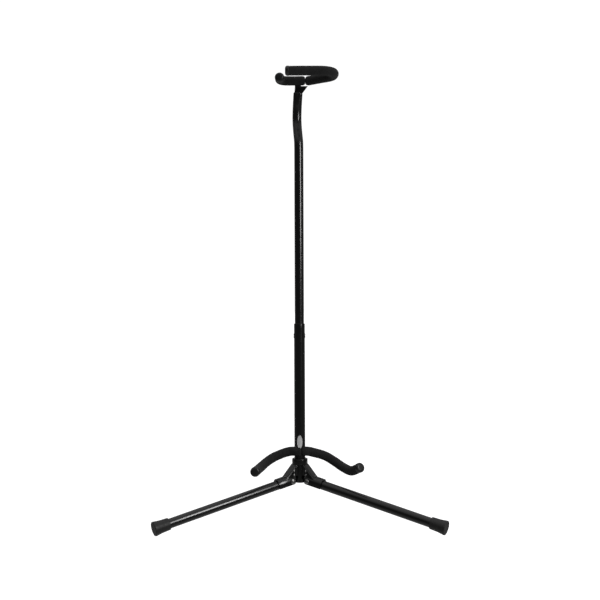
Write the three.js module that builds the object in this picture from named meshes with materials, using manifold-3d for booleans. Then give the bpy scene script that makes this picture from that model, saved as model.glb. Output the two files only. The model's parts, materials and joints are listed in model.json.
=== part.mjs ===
// A folding tripod stand for an instrument: three legs on a hub, a telescoping column, a padded cradle
// for the body and a padded open yoke for the neck. Millimetres, +Z up, the front faces -Y.
import * as THREE from "three";
import { mergeVertices } from "three/addons/utils/BufferGeometryUtils.js";
import Module from "manifold-3d";

const wasm = await Module();
wasm.setup();

// Clearance between touching pieces.
const GAP = 0.3;
const MERGE_DISTANCE = 1e-4;
const FULL_TURN = 2 * Math.PI;
const QUARTER_TURN = Math.PI / 2;

// Facets round a piece.
const ROUND_SIDES = 20;
const SMALL_SIDES = 10;
const ROD_SIDES = 8;
const FOAM_SIDES = 10;
const CAP_SIDES = 16;
const ARCH_SEGMENTS = 5;

// Legs. Each turns on a pivot beside the column and slopes down to a rubber foot.
const LEG_TURNS = { left: 210, right: 330, rear: 90 };
const LEG_SLOPE = THREE.MathUtils.degToRad(11.25);
const PIVOT_OUT = 19.5;
const PIVOT_HEIGHT = 60.8;
const PIVOT_RADIUS = 3;
const LEG_RADIUS = 8;
const LEG_BORE = 6.8;
const LEG_REACH = 255;
const FOOT_LENGTH = 26.6;
const FOOT_MOUTH_RADIUS = 9.85;
const FOOT_END_RADIUS = 11.8;
const FOOT_END_WALL = 5;
// The tube's inner end is domed about the pivot, to turn under the bracket's half-round roof.
const LEG_DOME_RADIUS = 9.4;
const PIVOT_HEAD_RADIUS = 4.6;
const PIVOT_HEAD_HEIGHT = 2.2;

// Hub.
const HUB_CORE_RADIUS = 10.5;
const HUB_TOP = 88.3;
const COLLAR_RADIUS = 13.6;
const COLLAR_HEIGHT = 9.3;
const BRACKET_INSIDE = 8.4;
const BRACKET_WALL = 2.5;
const BRACKET_DEPTH = 5.2;
const BRACKET_INNER_EDGE = 14;
const BRACKET_END = 46;
// The rounded corner below the pivot: [out from the inner edge, up from the lower edge].
const BRACKET_CORNER = [[0, 3.2], [0.9, 1.1], [3, 0]];
// The roof reaches further in than the cheeks: [out, height].
const BRACKET_THROAT = [[10.8, 86.5], [BRACKET_INNER_EDGE, 82]];
// The hood is narrower than the channel, with flat cheeks that the rivets pass through.
const HOOD_HALF_WIDTH = 9;
const HOOD_CORNER = 1.5;
const HOOD_TOP_OUT = 12.4;
const HOOD_FOOT_OUT = 30.1;
const HOOD_FOOT_HEIGHT = 68.5;
const LUG_BOTTOM = 69.6;
const LUG_REACH = 26;
const RIVET_RADIUS = 1.3;
const RIVET_HEAD_RADIUS = 2.2;
const RIVET_HEAD_HEIGHT = 1.3;
const RIVET_PLACES = { upper: [16.5, 78.8], lower: [16.6, 71.9] };
const HUB_PLUG_HEAD = 1.4;
const HUB_PLUG_SPIGOT = 10;

// Column.
const LOWER_RADIUS = 9.5;
const LOWER_BORE = 8.3;
const LOWER_BOTTOM = 58.2;
const LOWER_TOP = 334.1;
const UPPER_RADIUS = 8;
const UPPER_BORE = 6.8;
const UPPER_BOTTOM = 258;
const GUIDE_HEAD = 5;
const GUIDE_SPIGOT = 14;
const NECK_START = 642;
// The swan neck's centre line: [right, back, above its start].
const NECK_POINTS = [
  [0, 0, 0],
  [-0.3, 1.5, 12],
  [-1.8, 8.5, 30],
  [-3, 15, 50],
  [-2.8, 13.5, 68],
  [-1.9, 8, 84],
  [-1, 3, 97],
];

// Badge on the front of the lower tube.
const BADGE_HEIGHT = 128;
const BADGE_HALF_WIDTH = 4.6;
const BADGE_HALF_HEIGHT = 11.5;
const BADGE_THICKNESS = 0.7;

// Clamp behind the column.
const CLAMP_HEIGHT = 311.7;
const PAD_THICKNESS = 2;
const SCREW_RADIUS = 3;
const BOSS_RADIUS = 6.5;
const BOSS_END = 15.5;
const KNOB_START = 17.5;
const KNOB_END = 31.5;
const KNOB_RADIUS = 10.75;
const KNOB_NECK_RADIUS = 6;
const KNOB_NECK_LENGTH = 3;
const KNOB_BORE_WALL = 5;
const KNOB_FLUTES = 10;
const FLUTE_RADIUS = 2;
const FLUTE_OUT = 1.2;

// Padded rods.
const ROD_RADIUS = 3.5;
const FOAM_RADIUS = 7.8;
const FOAM_BORE = 4.6;
const CAP_RADIUS = 8.3;
const CAP_LENGTH = 7;
const CAP_BORE_DEPTH = 4;
const CRADLE_HEIGHT = 111.2;
const YOKE_HEIGHT = 760;
const YOKE_FRONT = 64.9;

// Finishes: colour, roughness, metalness.
const PAINT = [0x0b0b0c, 0.25, 0.3];
const FOAM = [0x141414, 0.95, 0];
const RUBBER = [0x1b1b1c, 0.7, 0];
const PLASTIC = [0x0f0f10, 0.35, 0];
const NYLON = [0xd8d6cf, 0.5, 0];
const STEEL = [0xb8babd, 0.3, 1];
const BRASS = [0xb08d4a, 0.35, 1];

const stand = new THREE.Group();

// ---------------------------------------------------------------- shapes

function solidOf(geometry) {
  const source = geometry.index ? geometry.toNonIndexed() : geometry;
  const bare = new THREE.BufferGeometry();
  bare.setAttribute("position", source.getAttribute("position"));
  const merged = mergeVertices(bare, MERGE_DISTANCE);
  return new wasm.Manifold(
    new wasm.Mesh({
      numProp: 3,
      vertProperties: merged.attributes.position.array,
      triVerts: new Uint32Array(merged.index.array),
    }),
  );
}

function geometryOf(solid) {
  const mesh = solid.getMesh();
  const geometry = new THREE.BufferGeometry();
  geometry.setAttribute("position", new THREE.BufferAttribute(mesh.vertProperties, 3));
  geometry.setIndex(new THREE.BufferAttribute(mesh.triVerts, 1));
  geometry.computeVertexNormals();
  return geometry;
}

// A profile of [radius, height] points, turned about Z. It runs anticlockwise: up the outside.
function turned(profile, sides = ROUND_SIDES) {
  const points = profile.map(([radius, height]) => new THREE.Vector2(radius, height));
  return new THREE.LatheGeometry(points, sides).rotateX(QUARTER_TURN);
}

function ringProfile(inner, outer, low, high) {
  return [
    [inner, low],
    [outer, low],
    [outer, high],
    [inner, high],
    [inner, low],
  ];
}

function rod(radius, low, high, sides = SMALL_SIDES) {
  return turned([[0, low], [radius, low], [radius, high], [0, high]], sides);
}

const alongX = (geometry) => geometry.rotateY(QUARTER_TURN);
const alongY = (geometry) => geometry.rotateX(-QUARTER_TURN);

function box(low, high) {
  const size = high.map((value, i) => value - low[i]);
  const middle = high.map((value, i) => (value + low[i]) / 2);
  return new THREE.BoxGeometry(...size).translate(...middle);
}

function circlePoints(radius, sides) {
  return Array.from({ length: sides }, (_, i) => {
    const angle = (FULL_TURN * i) / sides;
    return new THREE.Vector2(radius * Math.cos(angle), radius * Math.sin(angle));
  });
}

// A round section, hollow where it has a bore, swept along a curve.
function swept(curve, radius, steps, sides, bore = 0) {
  const section = new THREE.Shape(circlePoints(radius, sides));
  if (bore > 0) section.holes.push(new THREE.Path(circlePoints(bore, sides)));
  return new THREE.ExtrudeGeometry(section, { steps, extrudePath: curve, bevelEnabled: false });
}

// A side view of [out, height] points, thickened equally to both sides of the plane.
function plate(outline, thickness) {
  const shape = new THREE.Shape(outline.map(([out, height]) => new THREE.Vector2(out, height)));
  return new THREE.ExtrudeGeometry(shape, { depth: thickness, bevelEnabled: false })
    .translate(0, 0, -thickness / 2)
    .rotateX(QUARTER_TURN);
}

// A channel's section, open below, with its top corners rounded, swept along X from `start` to
// `end`. A corner as large as the half width makes the top a half round.
function arch(halfWidth, corner, depth, start, end) {
  const shape = new THREE.Shape();
  const reach = halfWidth - corner;
  shape.moveTo(-halfWidth, -depth);
  shape.lineTo(halfWidth, -depth);
  shape.lineTo(halfWidth, reach);
  shape.absarc(reach, reach, corner, 0, QUARTER_TURN, false);
  shape.absarc(-reach, reach, corner, QUARTER_TURN, Math.PI, false);
  return new THREE.ExtrudeGeometry(shape, {
    depth: end - start,
    curveSegments: ARCH_SEGMENTS,
    bevelEnabled: false,
  })
    .translate(0, 0, start)
    .rotateX(QUARTER_TURN)
    .rotateZ(QUARTER_TURN);
}

// An arc of a circle in space.
class Arc extends THREE.Curve {
  constructor(centre, start, axis, angle) {
    super();
    Object.assign(this, { centre, start, axis, angle });
  }
  getPoint(t) {
    return this.start.clone().applyAxisAngle(this.axis, t * this.angle).add(this.centre);
  }
}

// Straight lengths joined by bends. Each corner is [x, y, z, bend radius].
function bentPath(corners) {
  const path = new THREE.CurvePath();
  const points = corners.map(([x, y, z]) => new THREE.Vector3(x, y, z));
  let from = points[0];
  for (let i = 1; i < points.length - 1; i++) {
    const back = points[i - 1].clone().sub(points[i]).normalize();
    const ahead = points[i + 1].clone().sub(points[i]).normalize();
    const turn = Math.PI - back.angleTo(ahead);
    const reach = corners[i][3] * Math.tan(turn / 2);
    const start = points[i].clone().addScaledVector(back, reach);
    const end = points[i].clone().addScaledVector(ahead, reach);
    const middle = back.clone().add(ahead).normalize();
    const centre = points[i].clone().addScaledVector(middle, corners[i][3] / Math.cos(turn / 2));
    const axis = ahead.clone().cross(back).normalize();
    path.add(new THREE.LineCurve3(from, start));
    path.add(new Arc(centre, start.clone().sub(centre), axis, turn));
    from = end;
  }
  path.add(new THREE.LineCurve3(from, points.at(-1)));
  return path;
}

// The stretch of a curve between two distances along it.
class Stretch extends THREE.Curve {
  constructor(whole, start, end) {
    super();
    const length = whole.getLength();
    Object.assign(this, { whole, from: start / length, to: end / length });
  }
  getPoint(t) {
    return this.whole.getPointAt(THREE.MathUtils.lerp(this.from, this.to, t));
  }
}

function add(parent, name, shape, [color, roughness, metalness]) {
  const geometry = shape.isBufferGeometry ? shape : geometryOf(shape);
  const material = new THREE.MeshStandardMaterial({ color, roughness, metalness });
  const mesh = new THREE.Mesh(geometry, material);
  mesh.name = name;
  parent.add(mesh);
  return mesh;
}

// ---------------------------------------------------------------- legs
// A leg's own plane: X runs out from the column, Y across the leg, Z up.

const legMatrix = new THREE.Matrix4()
  .makeTranslation(PIVOT_OUT, 0, PIVOT_HEIGHT)
  .multiply(new THREE.Matrix4().makeRotationY(LEG_SLOPE));
const BRACKET_OUTSIDE = BRACKET_INSIDE + BRACKET_WALL;
const FAR = 60;

function pin(radius, halfLength) {
  return alongY(rod(radius, -halfLength, halfLength));
}

// A rivet: a shank across the bracket and a domed head on each cheek, `halfWidth` from the middle.
function rivet(radius, headRadius, headHeight, halfWidth) {
  const flat = halfWidth + GAP;
  const halfProfile = [
    [radius, flat],
    [headRadius, flat],
    [headRadius * 0.8, flat + headHeight * 0.65],
    [0, flat + headHeight],
  ];
  const mirrored = halfProfile.map(([r, z]) => [r, -z]).reverse();
  return alongY(turned([...mirrored, ...halfProfile], SMALL_SIDES));
}

// A ball about the pivot.
function dome(radius) {
  return solidOf(new THREE.SphereGeometry(radius, ROUND_SIDES, ROUND_SIDES / 2));
}

function legTube() {
  const end = LEG_REACH - FOOT_END_WALL - GAP;
  const tube = alongX(turned(ringProfile(LEG_BORE, LEG_RADIUS, -LEG_RADIUS, end)));
  const beyondPivot = solidOf(box([-FAR, -FAR, -FAR], [0, FAR, FAR]));
  const roundEnd = solidOf(alongY(rod(LEG_RADIUS - GAP, -FAR, FAR, ROUND_SIDES)));
  return solidOf(tube)
    .subtract(beyondPivot.subtract(roundEnd.intersect(dome(LEG_DOME_RADIUS))))
    .subtract(solidOf(pin(PIVOT_RADIUS + GAP, FAR)));
}

function foot() {
  const mouth = LEG_REACH - FOOT_LENGTH;
  const seat = LEG_REACH - FOOT_END_WALL;
  const edge = 1;
  const lip = 2;
  const rubber = alongX(
    turned([
      [0, seat],
      [LEG_RADIUS + GAP, seat],
      [LEG_RADIUS + GAP, mouth],
      [FOOT_MOUTH_RADIUS - edge / 2, mouth],
      [FOOT_MOUTH_RADIUS, mouth + edge],
      [FOOT_MOUTH_RADIUS + edge / 2, LEG_REACH - FOOT_LENGTH / 2],
      [FOOT_END_RADIUS, LEG_REACH - lip - edge],
      [FOOT_END_RADIUS, LEG_REACH - edge / 2],
      [FOOT_END_RADIUS - edge / 2, LEG_REACH],
      [0, LEG_REACH],
    ]),
  ).applyMatrix4(legMatrix);
  const floor = box([0, -FAR, -FAR], [LEG_REACH + FAR, FAR, 0]);
  return solidOf(rubber).subtract(solidOf(floor));
}

// The hood slopes from under the collar down to the back of the channel.
const HOOD_INSIDE = HOOD_HALF_WIDTH - BRACKET_WALL;
const hoodSlope = Math.atan2(HUB_TOP - HOOD_FOOT_HEIGHT, HOOD_FOOT_OUT - HOOD_TOP_OUT);

function hood(halfWidth) {
  const corner = Math.max(HOOD_CORNER - (HOOD_HALF_WIDTH - halfWidth), 2 * GAP);
  return arch(halfWidth, corner, FAR, -FAR, FAR)
    .translate(0, 0, -HOOD_HALF_WIDTH)
    .rotateY(hoodSlope)
    .translate(HOOD_TOP_OUT, 0, HUB_TOP);
}

function bracket() {
  const bottom = (out) =>
    PIVOT_HEIGHT - (out - PIVOT_OUT) * Math.tan(LEG_SLOPE) - BRACKET_DEPTH / Math.cos(LEG_SLOPE);
  const endTop = BRACKET_END + BRACKET_OUTSIDE * Math.sin(LEG_SLOPE);
  const endBottom = BRACKET_END - BRACKET_DEPTH * Math.sin(LEG_SLOPE);
  const corner = BRACKET_CORNER.map(([out, up]) => [
    BRACKET_INNER_EDGE + out,
    bottom(BRACKET_INNER_EDGE + out) + up,
  ]);
  const sideView = [
    [BRACKET_THROAT[0][0], HUB_TOP],
    ...BRACKET_THROAT,
    ...corner,
    [endBottom, bottom(endBottom)],
    [endTop, bottom(endTop) + (BRACKET_DEPTH + BRACKET_OUTSIDE) / Math.cos(LEG_SLOPE)],
    [endTop, HUB_TOP],
  ];
  const channel = (radius) => arch(radius, radius, FAR, -FAR, 2 * FAR).applyMatrix4(legMatrix);
  const outside = solidOf(channel(BRACKET_OUTSIDE)).add(solidOf(hood(HOOD_HALF_WIDTH)));
  const low = [-FAR, -BRACKET_INSIDE, -FAR];
  const high = [FAR, BRACKET_INSIDE, FAR];
  const dish = dome(LEG_DOME_RADIUS + GAP).intersect(solidOf(box(low, high)));
  const inside = solidOf(channel(BRACKET_INSIDE))
    .add(solidOf(hood(HOOD_INSIDE)))
    .add(dish.translate(PIVOT_OUT, 0, PIVOT_HEIGHT));
  let shell = solidOf(plate(sideView, 2 * FAR)).intersect(outside).subtract(inside);
  shell = shell.subtract(solidOf(rod(HUB_CORE_RADIUS + GAP, 0, LOWER_TOP, ROUND_SIDES)));
  shell = shell.subtract(solidOf(pin(PIVOT_RADIUS + GAP, FAR).translate(PIVOT_OUT, 0, PIVOT_HEIGHT)));
  for (const [out, height] of Object.values(RIVET_PLACES))
    shell = shell.subtract(solidOf(pin(RIVET_RADIUS + GAP, FAR).translate(out, 0, height)));
  return shell;
}

function lug() {
  const low = [0, -HOOD_INSIDE, LUG_BOTTOM];
  const high = [LUG_REACH, HOOD_INSIDE, HUB_TOP - GAP];
  let shape = solidOf(hood(HOOD_INSIDE - GAP)).intersect(solidOf(box(low, high)));
  for (const [out, height] of Object.values(RIVET_PLACES))
    shape = shape.subtract(solidOf(pin(RIVET_RADIUS + GAP, FAR).translate(out, 0, height)));
  return shape;
}

for (const [side, degrees] of Object.entries(LEG_TURNS)) {
  const plane = new THREE.Group();
  plane.rotation.z = THREE.MathUtils.degToRad(degrees);
  stand.add(plane);
  const leg = new THREE.Group();
  leg.position.set(PIVOT_OUT, 0, PIVOT_HEIGHT);
  leg.rotation.y = LEG_SLOPE;
  plane.add(leg);
  add(leg, `leg_tube_${side}`, legTube(), PAINT);
  const pivot = rivet(PIVOT_RADIUS, PIVOT_HEAD_RADIUS, PIVOT_HEAD_HEIGHT, BRACKET_OUTSIDE);
  add(leg, `leg_pivot_${side}`, pivot, STEEL);
  add(plane, `foot_${side}`, foot(), RUBBER);
  add(plane, `leg_bracket_${side}`, bracket(), PAINT);
  for (const [level, [out, height]] of Object.entries(RIVET_PLACES)) {
    const shape = rivet(RIVET_RADIUS, RIVET_HEAD_RADIUS, RIVET_HEAD_HEIGHT, HOOD_HALF_WIDTH);
    const mesh = add(plane, `bracket_rivet_${side}_${level}`, shape, STEEL);
    mesh.position.set(out, 0, height);
  }
}

// ---------------------------------------------------------------- hub and column

function hubCore() {
  let core = solidOf(rod(HUB_CORE_RADIUS, LOWER_BOTTOM, HUB_TOP - GAP, ROUND_SIDES));
  for (const degrees of Object.values(LEG_TURNS)) {
    const turn = THREE.MathUtils.degToRad(degrees);
    core = core.add(solidOf(geometryOf(lug()).rotateZ(turn)));
  }
  return core.subtract(solidOf(rod(LOWER_RADIUS + GAP, 0, LOWER_TOP, ROUND_SIDES)));
}

function hubCollar() {
  const edge = 0.8;
  const top = HUB_TOP + GAP + COLLAR_HEIGHT;
  return turned([
    [LOWER_RADIUS + GAP, HUB_TOP + GAP],
    [COLLAR_RADIUS, HUB_TOP + GAP],
    [COLLAR_RADIUS, top - edge],
    [COLLAR_RADIUS - edge, top],
    [LOWER_RADIUS + GAP, top],
    [LOWER_RADIUS + GAP, HUB_TOP + GAP],
  ]);
}

function hubPlug() {
  const edge = 0.7;
  const top = LOWER_BOTTOM - GAP;
  const bottom = top - HUB_PLUG_HEAD;
  const end = LOWER_BOTTOM + HUB_PLUG_SPIGOT;
  return turned([
    [0, bottom],
    [LOWER_RADIUS - edge, bottom],
    [LOWER_RADIUS, bottom + edge],
    [LOWER_RADIUS, top],
    [LOWER_BORE - GAP, top],
    [LOWER_BORE - GAP, end],
    [0, end],
  ]);
}

function lowerTube() {
  const tube = turned(ringProfile(LOWER_BORE, LOWER_RADIUS, LOWER_BOTTOM, LOWER_TOP));
  const rodHoles = alongX(rod(ROD_RADIUS + 2 * GAP, -FAR, FAR)).translate(0, 0, CRADLE_HEIGHT);
  const screwHole = alongY(rod(SCREW_RADIUS + 2 * GAP, 0, FAR)).translate(0, 0, CLAMP_HEIGHT);
  return solidOf(tube).subtract(solidOf(rodHoles)).subtract(solidOf(screwHole));
}

// An oval plate bent round the tube.
function badge() {
  const outline = new THREE.Shape();
  outline.absellipse(0, 0, BADGE_HALF_WIDTH, BADGE_HALF_HEIGHT, 0, FULL_TURN, false);
  const options = { depth: FAR, curveSegments: SMALL_SIDES, bevelEnabled: false };
  const oval = new THREE.ExtrudeGeometry(outline, options)
    .rotateX(QUARTER_TURN)
    .translate(0, 0, BADGE_HEIGHT);
  const inner = LOWER_RADIUS + GAP;
  const low = BADGE_HEIGHT - 2 * BADGE_HALF_HEIGHT;
  const high = BADGE_HEIGHT + 2 * BADGE_HALF_HEIGHT;
  const shell = turned(ringProfile(inner, inner + BADGE_THICKNESS, low, high), 2 * ROUND_SIDES);
  return solidOf(shell).intersect(solidOf(oval));
}

add(stand, "hub_core", hubCore(), PAINT);
add(stand, "hub_collar", hubCollar(), PAINT);
add(stand, "hub_plug", hubPlug(), PLASTIC);
add(stand, "lower_tube", lowerTube(), PAINT);
add(stand, "badge_plate", badge(), STEEL);

// ---------------------------------------------------------------- clamp

const PAD_FACE = UPPER_RADIUS + GAP;
const KNOB_BORE_END = KNOB_END - KNOB_BORE_WALL;

// A short neck and a fluted grip, bored for the screw.
function knob() {
  const edge = 1.5;
  const shoulder = KNOB_START + KNOB_NECK_LENGTH;
  const body = turned([
    [0, KNOB_START],
    [KNOB_NECK_RADIUS, KNOB_START],
    [KNOB_NECK_RADIUS, shoulder],
    [KNOB_RADIUS - edge, shoulder],
    [KNOB_RADIUS, shoulder + edge],
    [KNOB_RADIUS, KNOB_END - edge],
    [KNOB_RADIUS - edge, KNOB_END],
    [0, KNOB_END],
  ], 2 * ROUND_SIDES);
  let grip = solidOf(body);
  for (let i = 0; i < KNOB_FLUTES; i++) {
    const flute = rod(FLUTE_RADIUS, shoulder - 1, KNOB_END + 2)
      .translate(KNOB_RADIUS + FLUTE_OUT, 0, 0)
      .rotateZ((FULL_TURN * i) / KNOB_FLUTES);
    grip = grip.subtract(solidOf(flute));
  }
  return grip.subtract(solidOf(rod(SCREW_RADIUS + GAP, 0, KNOB_BORE_END)));
}

// A nut welded to the back of the lower tube.
function boss() {
  const profile = ringProfile(SCREW_RADIUS + GAP, BOSS_RADIUS, LOWER_RADIUS / 2, BOSS_END);
  const tube = rod(LOWER_RADIUS + GAP, -FAR, FAR, ROUND_SIDES);
  return solidOf(alongY(turned(profile))).subtract(solidOf(tube));
}

const clamp = new THREE.Group();
clamp.position.z = CLAMP_HEIGHT;
stand.add(clamp);
const padBack = PAD_FACE + PAD_THICKNESS;
add(clamp, "clamp_boss", boss(), PAINT);
add(clamp, "pressure_pad", alongY(rod(SCREW_RADIUS, PAD_FACE, padBack)), BRASS);
add(clamp, "clamp_screw", alongY(rod(SCREW_RADIUS, padBack + GAP, KNOB_BORE_END - GAP)), STEEL);
add(clamp, "clamp_knob", alongY(geometryOf(knob())), PLASTIC);

// ---------------------------------------------------------------- mast
// The upper tube is straight, then leans back in a swan neck and comes forward again under the yoke.

const MAST_STEPS = 15;

class MastPath extends THREE.Curve {
  constructor(bottom, neck) {
    super();
    Object.assign(this, { bottom, neck });
  }
  // The first step spans the straight length, and the rest share the neck.
  getPoint(t) {
    const straightShare = 1 / MAST_STEPS;
    if (t >= straightShare) return this.neck.getPoint((t - straightShare) / (1 - straightShare));
    return this.bottom.clone().lerp(this.neck.getPoint(0), t / straightShare);
  }
  getUtoTmapping(u) {
    return u;
  }
}

const neckPath = new THREE.CatmullRomCurve3(
  NECK_POINTS.map(([right, back, above]) => new THREE.Vector3(right, back, NECK_START + above)),
);
const mastPath = new MastPath(new THREE.Vector3(0, 0, UPPER_BOTTOM), neckPath);
add(stand, "upper_tube", swept(mastPath, UPPER_RADIUS, MAST_STEPS, 2 * ROD_SIDES, UPPER_BORE), PAINT);

// The nylon plug in the upper tube's lower end, which guides it in the lower tube.
function guidePlug() {
  const edge = 0.8;
  const top = UPPER_BOTTOM - GAP;
  const bottom = UPPER_BOTTOM - GUIDE_HEAD;
  const end = UPPER_BOTTOM + GUIDE_SPIGOT;
  const spigot = UPPER_BORE - 2 * GAP;
  return turned([
    [0, bottom],
    [UPPER_RADIUS - edge, bottom],
    [UPPER_RADIUS, bottom + edge],
    [UPPER_RADIUS, top],
    [spigot, top],
    [spigot, end],
    [0, end],
  ]);
}
add(stand, "guide_plug", guidePlug(), NYLON);

// ---------------------------------------------------------------- padded rods

function cap() {
  const edge = 0.8;
  const crown = 3.4;
  return turned([
    [0, CAP_BORE_DEPTH],
    [ROD_RADIUS + GAP, CAP_BORE_DEPTH],
    [ROD_RADIUS + GAP, 0],
    [CAP_RADIUS - edge, 0],
    [CAP_RADIUS, edge],
    [CAP_RADIUS, CAP_LENGTH - crown],
    [CAP_RADIUS - edge, CAP_LENGTH - crown / 2],
    [CAP_RADIUS - crown, CAP_LENGTH - edge / 4],
    [0, CAP_LENGTH],
  ], CAP_SIDES);
}

const UP = new THREE.Vector3(0, 0, 1);
const ROD_IN_CAP = CAP_BORE_DEPTH - GAP;

// A cap pushed over a rod's end, which `forward` says is the path's last or first.
function addCap(name, path, forward) {
  const length = path.getLength();
  const at = forward ? 1 - ROD_IN_CAP / length : ROD_IN_CAP / length;
  const direction = path.getTangentAt(forward ? 1 : 0).multiplyScalar(forward ? 1 : -1);
  const mesh = add(stand, name, cap(), PLASTIC);
  mesh.position.copy(path.getPointAt(at));
  mesh.quaternion.setFromUnitVectors(UP, direction);
}

function foamAlong(path, start, end, step) {
  const steps = Math.round((end - start) / step);
  return swept(new Stretch(path, start, end), FOAM_RADIUS, steps, FOAM_SIDES, FOAM_BORE);
}

// The distance along a path whose points run steadily in X, at which X reaches a value.
function distanceAtX(path, x, from, to) {
  const length = path.getLength();
  const halvings = 40;
  let low = from;
  let high = to;
  for (let i = 0; i < halvings; i++) {
    const middle = (low + high) / 2;
    const rising = path.getPointAt(high / length).x > path.getPointAt(low / length).x;
    if (path.getPointAt(middle / length).x < x === rising) low = middle;
    else high = middle;
  }
  return low;
}

// The cradle rod passes through the lower tube and its arms drop, come forward and turn up.
const cradlePath = new THREE.CatmullRomCurve3(
  [
    [-73.8, -86, 92],
    [-72.7, -62, 89],
    [-67, -40, 90.3],
    [-57, -20, 95.7],
    [-43, -7, 102.4],
    [-24, -1.5, 108.7],
    [-8, 0, CRADLE_HEIGHT],
    [8, 0, CRADLE_HEIGHT],
    [25, 1.5, 107.6],
    [45, 0, 101.5],
    [61, -9, 93.5],
    [75, -25, 86.5],
    [87, -45, 84.8],
    [100.6, -68, 94.8],
  ].map((point) => new THREE.Vector3(...point)),
);
const cradleLength = cradlePath.getLength();
const CRADLE_STEPS = 32;
const FOAM_STEP = 9.5;
const cradleFoamStart = LOWER_RADIUS + 4 * GAP;
const leftSeat = distanceAtX(cradlePath, -cradleFoamStart, cradleLength / 4, (cradleLength * 3) / 4);
const rightSeat = distanceAtX(cradlePath, cradleFoamStart, cradleLength / 4, (cradleLength * 3) / 4);
const capSeat = ROD_IN_CAP + 2 * GAP;
add(stand, "cradle_rod", swept(cradlePath, ROD_RADIUS, CRADLE_STEPS, ROD_SIDES), PAINT);
add(stand, "cradle_foam_left", foamAlong(cradlePath, capSeat, leftSeat, FOAM_STEP), FOAM);
add(stand, "cradle_foam_right", foamAlong(cradlePath, rightSeat, cradleLength - capSeat, FOAM_STEP), FOAM);
addCap("cradle_cap_left", cradlePath, false);
addCap("cradle_cap_right", cradlePath, true);

// The yoke rod: a short arm whose tip turns forward, and a long arm that runs out to the right,
// turns back round a wide bend and crosses in front.
const SHORT_TIP_X = -32.1;
const LONG_TIP_X = -19.4;
const yokePath = bentPath([
  [SHORT_TIP_X, -24, YOKE_HEIGHT, 0],
  [SHORT_TIP_X, 0, YOKE_HEIGHT, 12],
  [17.3, 0, YOKE_HEIGHT, 20],
  [112, -YOKE_FRONT, YOKE_HEIGHT, 23],
  [LONG_TIP_X, -YOKE_FRONT, YOKE_HEIGHT, 0],
]);
const yokeLength = yokePath.getLength();
const SHORT_FOAM_END = 10.6;
const LONG_FOAM_START = 13;
// Distances along the rod between which it runs straight across behind the mouth.
const BACK_ARM = [40, 110];
const shortSeat = distanceAtX(yokePath, SHORT_FOAM_END, ...BACK_ARM);
const longSeat = distanceAtX(yokePath, LONG_FOAM_START, ...BACK_ARM);
const YOKE_STEPS = 48;
const YOKE_STEP = 8.5;
const TIGHT_BEND_STEP = 5;

// The saddle stands in the tube's end, and its left ear reaches the rod through a slit in the foam.
const EAR_LEFT = -6.6;
const EAR_RIGHT = 4.3;
const EAR_TOP = YOKE_HEIGHT - ROD_RADIUS - GAP;
const SADDLE_THICKNESS = 3;
const SADDLE_BACK = 1.5;
const SADDLE_TOP = 750.9;
const saddleOutline = [
  [-4.8, 733.5],
  [2.6, 733.5],
  [3, 738.6],
  [6.4, 739.5],
  [10.6, 743.5],
  [16.1, SADDLE_TOP],
  [EAR_RIGHT, SADDLE_TOP],
  [EAR_RIGHT, EAR_TOP],
  [EAR_LEFT, EAR_TOP],
  [EAR_LEFT, SADDLE_TOP - 2],
  [-4.2, 741],
  [-4.6, 739.5],
  [-5, 738.6],
];
const slitReach = SADDLE_THICKNESS / 2 + 2 * GAP;
const slit = box(
  [EAR_LEFT - 2 * GAP, SADDLE_BACK - slitReach, SADDLE_TOP],
  [EAR_RIGHT + 2 * GAP, SADDLE_BACK + slitReach, YOKE_HEIGHT - 2],
);
const shortSleeve = foamAlong(yokePath, capSeat, shortSeat, TIGHT_BEND_STEP);
const shortFoam = solidOf(shortSleeve).subtract(solidOf(slit));
const saddle = add(stand, "yoke_saddle", plate(saddleOutline, SADDLE_THICKNESS), PAINT);
saddle.position.y = SADDLE_BACK;
add(stand, "yoke_rod", swept(yokePath, ROD_RADIUS, YOKE_STEPS, ROD_SIDES), PAINT);
add(stand, "yoke_foam_short", shortFoam, FOAM);
add(stand, "yoke_foam_long", foamAlong(yokePath, longSeat, yokeLength - capSeat, YOKE_STEP), FOAM);
addCap("yoke_cap_short", yokePath, false);
addCap("yoke_cap_long", yokePath, true);

// The origin is under the middle of the whole stand, on the surface it stands on.
stand.updateMatrixWorld(true);
const extent = new THREE.Box3().setFromObject(stand, true);
const middle = extent.getCenter(new THREE.Vector3());
stand.position.set(-middle.x, -middle.y, -extent.min.z);

export default stand;
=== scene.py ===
import json
import math

import bmesh
import bpy
import numpy as np
from mathutils import Matrix, Vector

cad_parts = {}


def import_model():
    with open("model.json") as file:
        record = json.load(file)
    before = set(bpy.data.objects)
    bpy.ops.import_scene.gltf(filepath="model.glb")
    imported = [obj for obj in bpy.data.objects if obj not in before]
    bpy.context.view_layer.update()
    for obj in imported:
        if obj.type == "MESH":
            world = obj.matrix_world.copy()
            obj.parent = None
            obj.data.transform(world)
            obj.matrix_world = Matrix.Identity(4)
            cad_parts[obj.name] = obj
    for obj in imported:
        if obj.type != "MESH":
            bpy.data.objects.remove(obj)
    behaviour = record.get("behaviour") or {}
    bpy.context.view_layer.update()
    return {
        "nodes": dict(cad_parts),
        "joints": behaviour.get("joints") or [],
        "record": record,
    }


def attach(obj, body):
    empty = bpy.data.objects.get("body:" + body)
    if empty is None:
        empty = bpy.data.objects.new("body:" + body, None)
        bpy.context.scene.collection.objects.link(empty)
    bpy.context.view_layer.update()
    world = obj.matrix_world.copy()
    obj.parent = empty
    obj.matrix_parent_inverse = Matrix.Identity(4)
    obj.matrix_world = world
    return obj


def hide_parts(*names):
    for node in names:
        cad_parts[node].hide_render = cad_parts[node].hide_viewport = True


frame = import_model()

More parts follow.
